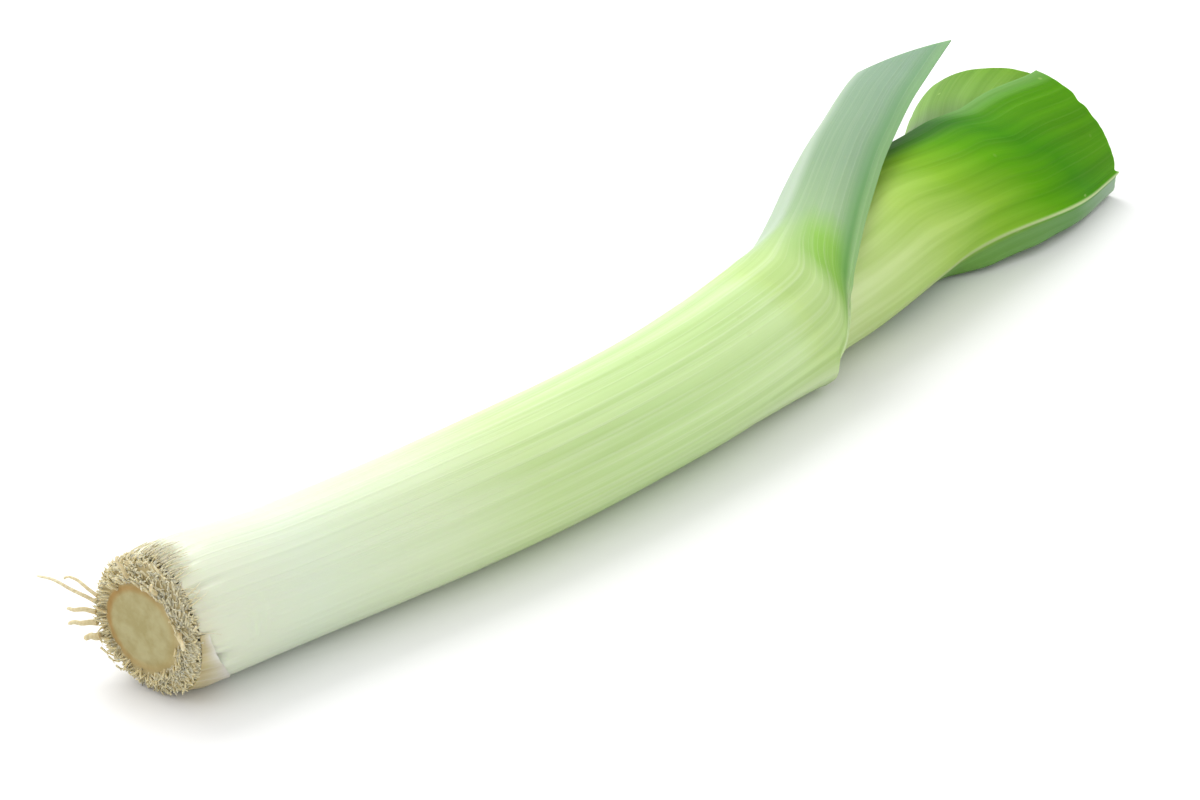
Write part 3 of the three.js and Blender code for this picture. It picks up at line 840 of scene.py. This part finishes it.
rootSkin = rootFinish("rootSkin", {
    "tan": [(0.0, srgb(216, 198, 148)), (0.5, srgb(226, 211, 162)), (1.0, srgb(234, 222, 180))],
    "white": [(0.0, srgb(226, 214, 174)), (1.0, srgb(242, 236, 206))],
    "dark": srgb(246, 238, 220),
})

plate = {
    "outline": [(0, (0, 0)), (0.36, (0, 10.9)), (0.42, (0.4, 12.6)), (0.5, (1.1, 15.1)),
                (0.6, (3.0, 17.1)), (0.66, (4.6, 16.7)), (0.76, (7.4, 13.5)), (0.86, (9.2, 10)),
                (0.94, (10.2, 6)), (1, (10.6, 0))],
    "segments": 128, "rings": 72,
}


def plateFinish():
    material, tree, shader = newMaterial("cutPlate")
    reach = addNode(tree, "ShaderNodeAttribute", attribute_name="tip").outputs["Fac"]
    back = addNode(tree, "ShaderNodeAttribute", attribute_name="pale").outputs["Fac"]
    colour = ramp(tree, reach, [(0.0, srgb(205, 196, 142)), (0.5, srgb(208, 198, 146)),
                                (0.62, srgb(204, 188, 130)), (0.7, srgb(214, 196, 142)),
                                (1.0, srgb(224, 208, 160))])
    rim = ramp(tree, reach, [(0.56, 0.0), (0.63, 1.0), (0.66, 1.0), (0.72, 0.0)])
    colour = mixColour(tree, maths(tree, "MULTIPLY", rim, back), colour, srgb(198, 160, 92))
    coordinates = addNode(tree, "ShaderNodeTexCoord")
    mottle = addNode(tree, "ShaderNodeTexNoise")
    mottle.inputs["Scale"].default_value = 260
    mottle.inputs["Detail"].default_value = 4
    tree.links.new(coordinates.outputs["Object"], mottle.inputs["Vector"])
    worn = ramp(tree, mottle.outputs["Fac"],
                [(0.38, srgb(214, 200, 150)), (0.6, srgb(252, 250, 244))])
    colour = mixColour(tree, 0.55, colour, worn, "MULTIPLY")
    tree.links.new(colour, shader.inputs["Base Color"])
    shader.inputs["Roughness"].default_value = 0.8
    bump = addNode(tree, "ShaderNodeBump")
    bump.inputs["Strength"].default_value = 0.6
    bump.inputs["Distance"].default_value = 0.0003
    tree.links.new(mottle.outputs["Fac"], bump.inputs["Height"])
    tree.links.new(bump.outputs["Normal"], shader.inputs["Normal"])
    return material


def markVertices(piece, name, values):
    attribute = piece.data.attributes.new(name, "FLOAT", "POINT")
    attribute.data.foreach_set("value", values)


# A ball drawn out into the plate: its pole is the middle of the cut face.
def makePlate():
    deselect()
    bpy.ops.mesh.primitive_uv_sphere_add(segments=plate["segments"], ring_count=plate["rings"], radius=1)
    piece = bpy.context.object
    piece.name = "stemPlate"
    stations = [(t, point[0]) for t, point in plate["outline"]]
    radii = [(t, point[1]) for t, point in plate["outline"]]
    reach, back = [], []
    for vertex in piece.data.vertices:
        t = math.acos(min(max(vertex.co.z, -1), 1)) / math.pi
        angle = math.degrees(math.atan2(vertex.co.y, vertex.co.x))
        radius = between(radii, t)
        rough = noise.noise(Vector((vertex.co.x * radius, vertex.co.y * radius, 0)) * 0.55) * 0.22
        rough += noise.noise(Vector((vertex.co.x * 9, vertex.co.y * 9, t * 30))) * 0.12
        rough *= smoothstep(t, 0.02, 0.1)  # the cut face is rough, its middle and the dome aren't
        rough *= 1 - smoothstep(t, 0.5, 0.6)
        station = between(stations, t) + rough
        reach.append(radius / 17 if t < 0.6 else 1)
        back.append(0.5 - 0.5 * math.cos(math.radians(angle + 20)))
        vertex.co = atRoot(station, radius, angle)
    markVertices(piece, "tip", reach)
    markVertices(piece, "pale", back)
    piece.data.update()
    bpy.ops.object.shade_smooth_by_angle(angle=math.radians(50))
    piece.data.materials.append(plateFinish())
    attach(piece, "root")
    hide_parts("stem_plate")


makePlate()
print("stem plate is shaped")


# A straight tube from z = 0 to z = 1, its ends closed.
def tubeBlank(name, sides, cuts):
    deselect()
    bpy.ops.mesh.primitive_cylinder_add(vertices=sides, radius=1, depth=1, location=(0, 0, 0.5))
    tube = bpy.context.object
    tube.name = name
    tube.data.name = name
    bpy.ops.object.transform_apply(location=True)
    bpy.ops.object.mode_set(mode="EDIT")
    bpy.ops.mesh.select_mode(type="EDGE")
    bpy.ops.mesh.select_all(action="DESELECT")
    bpy.ops.object.mode_set(mode="OBJECT")
    vertices = tube.data.vertices
    for edge in tube.data.edges:
        low, high = (vertices[i].co.z for i in edge.vertices)
        edge.select = abs(high - low) > 0.5
    bpy.ops.object.mode_set(mode="EDIT")
    bpy.ops.mesh.subdivide(number_cuts=cuts)
    bpy.ops.object.mode_set(mode="OBJECT")
    return tube


# Lays a tube along route(t) in metres, with its radius in millimetres.
def layTube(tube, route, radius, taper, pale):
    tips = []
    for vertex in tube.data.vertices:
        t = vertex.co.z
        tangent = (route(min(t + 0.02, 1)) - route(max(t - 0.02, 0))).normalized()
        side = Vector((0.31, 0.2, 0.93)).cross(tangent).normalized()
        up = tangent.cross(side)
        size = radius * mm * (1 - taper * t) * (0.55 if t > 0.99 else 1)
        vertex.co = route(t) + (side * vertex.co.x + up * vertex.co.y) * size
        tips.append(t)
    for vertex in tube.data.vertices:
        vertex.co.z = max(vertex.co.z, 0)
    markVertices(tube, "tip", tips)
    markVertices(tube, "pale", [pale] * len(tips))
    tube.data.update()


def copyOf(blank, name):
    piece = blank.copy()
    piece.data = blank.data.copy()
    piece.name = name
    piece.data.name = name
    bpy.context.collection.objects.link(piece)
    return piece


def joinAll(pieces):
    deselect()
    for piece in pieces:
        piece.select_set(True)
    bpy.context.view_layer.objects.active = pieces[0]
    bpy.ops.object.join()
    bpy.ops.object.shade_smooth_by_angle(angle=math.radians(60))
    return bpy.context.object


tuft = {
    "stubs": 800, "stubRadius": (0.24, 0.52),
    "rim": 380, "rimRadius": (0.26, 0.52),
    "threads": 90, "threadRadius": (0.13, 0.22),
    "strands": 80, "strandRadius": (0.1, 0.2),
    "curls": [(212, 0.9), (221, 1.1), (229, 0.8), (238, 0.7)], "curlRadius": 0.26,
    "seed": 5,
}


def bent(start, middle, end):
    return lambda t: start * (1 - t) ** 2 + middle * (2 * t * (1 - t)) + end * t ** 2


# Cut roots stand all round the plate; towards the face they point back, at the rim outwards.
def stubRoute(turn, draw):
    inner = draw.random() ** 0.8
    foot = lerp(12.0, 16.0, inner)
    depth = lerp(0.4, 3.0, inner) + draw.uniform(-0.3, 0.3)
    reach = draw.uniform(1.6, 3.2) * lerp(0.6, 1, inner)
    back = lerp(2.4, 0.8, inner) * draw.uniform(0.5, 1.1)
    twist = draw.uniform(-10, 10)
    return bent(atRoot(depth, foot - 0.8, turn),
                atRoot(depth - 0.6 * back, foot + 0.5 * reach, turn + 0.2 * twist),
                atRoot(depth - back, foot + reach, turn + twist))


# The outermost ones lap over the edge of the sheath; on the far side they stand off it.
def rimRoute(turn, draw):
    off = max(math.cos(math.radians(turn - 180)), 0) ** 0.5  # 1 on the far side, 0 in front
    under = smoothstep(-math.sin(math.radians(turn)), 0.5, 0.95)  # the table holds these in
    twist = draw.uniform(-7, 7)
    reach = draw.uniform(17.4, 18.3) + off * draw.uniform(0, 1.6) * (1 - under)
    end = lerp(draw.uniform(4.8, 6.3), draw.uniform(2, 5), off)
    return bent(atRoot(draw.uniform(2.4, 3.8), 15.6, turn),
                atRoot(lerp(3.6, 2.2, off), 17.9, turn + 0.3 * twist),
                atRoot(end, reach - 0.5 * under, turn + twist))


# Fine strands that lie back on the foot of the sheath.
def strandRoute(turn, draw):
    swing = draw.uniform(-8, 8)
    far = draw.uniform(8, 13)
    skin = between(shaft["radius"], far) + 0.12
    near = rootEnd["sheathFoot"]
    return bent(atRoot(near, skin - 0.6, turn),
                atRoot(lerp(near, far, 0.5), skin + 0.5, turn + 0.3 * swing),
                atRoot(far, skin + draw.uniform(0, 0.7), turn + swing))


# Threads that cross the rim of the face.
def threadRoute(turn, draw):
    foot = draw.uniform(11.2, 14.6)
    swing = draw.uniform(-16, 16)
    return bent(atRoot(0.2, foot, turn),
                atRoot(-0.9, foot + 0.8, turn + 0.5 * swing),
                atRoot(draw.uniform(0.2, 1.4), foot + draw.uniform(0.3, 2.6), turn + swing))


# A fine root that curls into a loop beside the plate.
def curlRoute(turn, size):
    def route(t):
        loop = 2 * math.pi * 1.15 * t
        return atRoot(1.5 - 1.2 * t + size * 0.4 * math.sin(loop),
                      16.4 + size * 1.6 * t + size * (1 - math.cos(loop)),
                      turn + 5 * size * math.sin(loop))
    return route


def makeTuft():
    draw = random.Random(tuft["seed"])
    stub = tubeBlank("stub", 6, 3)
    thread = tubeBlank("thread", 4, 6)
    pieces = []
    for i in range(tuft["stubs"]):
        piece = copyOf(stub, "stub")
        turn = draw.uniform(0, 360)
        above = 0.5 * max(math.sin(math.radians(turn)), 0)  # the upper ones are paler
        pale = above + draw.uniform(0, 0.7) ** 2
        layTube(piece, stubRoute(turn, draw), draw.uniform(*tuft["stubRadius"]), 0.35, min(pale, 1))
        pieces.append(piece)
    for i in range(tuft["rim"]):
        piece = copyOf(stub, "stub")
        turn = draw.uniform(0, 360)
        pale = 0.5 * max(math.sin(math.radians(turn)), 0) + draw.uniform(0, 0.7) ** 2
        layTube(piece, rimRoute(turn, draw), draw.uniform(*tuft["rimRadius"]), 0.5, min(pale, 1))
        pieces.append(piece)
    for i in range(tuft["threads"]):
        piece = copyOf(thread, "thread")
        route = threadRoute(draw.uniform(-80, 75), draw)
        layTube(piece, route, draw.uniform(*tuft["threadRadius"]), 0.4, 1)
        pieces.append(piece)
    for i in range(tuft["strands"]):
        piece = copyOf(thread, "strand")
        route = strandRoute(draw.gauss(95, 28), draw)
        layTube(piece, route, draw.uniform(*tuft["strandRadius"]), 0.6, draw.uniform(0.5, 1))
        pieces.append(piece)
    for turn, size in tuft["curls"]:
        piece = copyOf(thread, "curl")
        layTube(piece, curlRoute(turn, size), tuft["curlRadius"], 0.3, 0.3)
        pieces.append(piece)
    for blank in (stub, thread):
        bpy.data.objects.remove(blank)
    felt = joinAll(pieces)
    felt.name = "cutRoots"
    felt.data.name = "cutRoots"
    felt.data.materials.append(rootSkin)
    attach(felt, "root")


makeTuft()
print("cut roots are laid")


# The roots that the trimming missed.
longRoots = [  # degrees round the plate, reach out, back and down, radius, paleness, hook of the end
    (168, 20, 4.2, 3.2, 0.55, 0.9, 0),
    (160, 14, 1.8, 2.9, 0.5, 0.6, 1.6),
    (180, 9, 2.8, 2.2, 0.7, 0.4, 0),
    (192, 9, 2.9, 1.2, 0.8, 0.35, 0),
    (206, 6.5, 1, -0.3, 1.1, 0.2, 0),
    (100, 6, 2.5, -1, 0.6, 0.3, 0.5),
    (62, 5, 3, 0, 0.6, 0.3, 0),
    (15, 5, 2.5, 2, 0.65, 0.3, 0.4),
]


def makeLongRoots():
    blank = tubeBlank("rootTube", 10, 14)
    station, radiusOut = rootEnd["rootStation"], rootEnd["rootRadius"]
    for number, (angle, reach, back, droop, radius, pale, hook) in enumerate(longRoots, 1):
        root = copyOf(blank, f"longRoot{number}")
        lean = rootEnd["faceTurn"] * math.cos(math.radians(angle))  # the roots run on from a turned face
        start = atRoot(station, radiusOut, angle)
        half = atRoot(station - 0.7 * back - lean * reach / 2, radiusOut + reach / 2, angle)
        end = atRoot(station - back - lean * reach, radiusOut + reach, angle)
        path = bent(start, half, end - Vector((0, 0, droop * mm)))

        def route(t, path=path, hook=hook, phase=number * 1.7):
            bend = max(t - 0.7, 0) / 0.3
            fall = hook * mm * bend * bend
            sway = 0.25 * mm * math.sin(9 * t + phase) * t
            return path(t) + Vector((sway, -fall * 0.7, sway - fall))

        layTube(root, route, radius, 0.35, pale)
        deselect()
        root.select_set(True)
        bpy.context.view_layer.objects.active = root
        bpy.ops.object.shade_smooth_by_angle(angle=math.radians(60))
        root.data.materials.append(rootSkin)
        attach(root, "root")
        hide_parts(f"root_{number}")
    bpy.data.objects.remove(blank)


makeLongRoots()
print("longer roots are laid")


print("cad box", [round(v, 4) for v in (*cadLow, *cadHigh)])
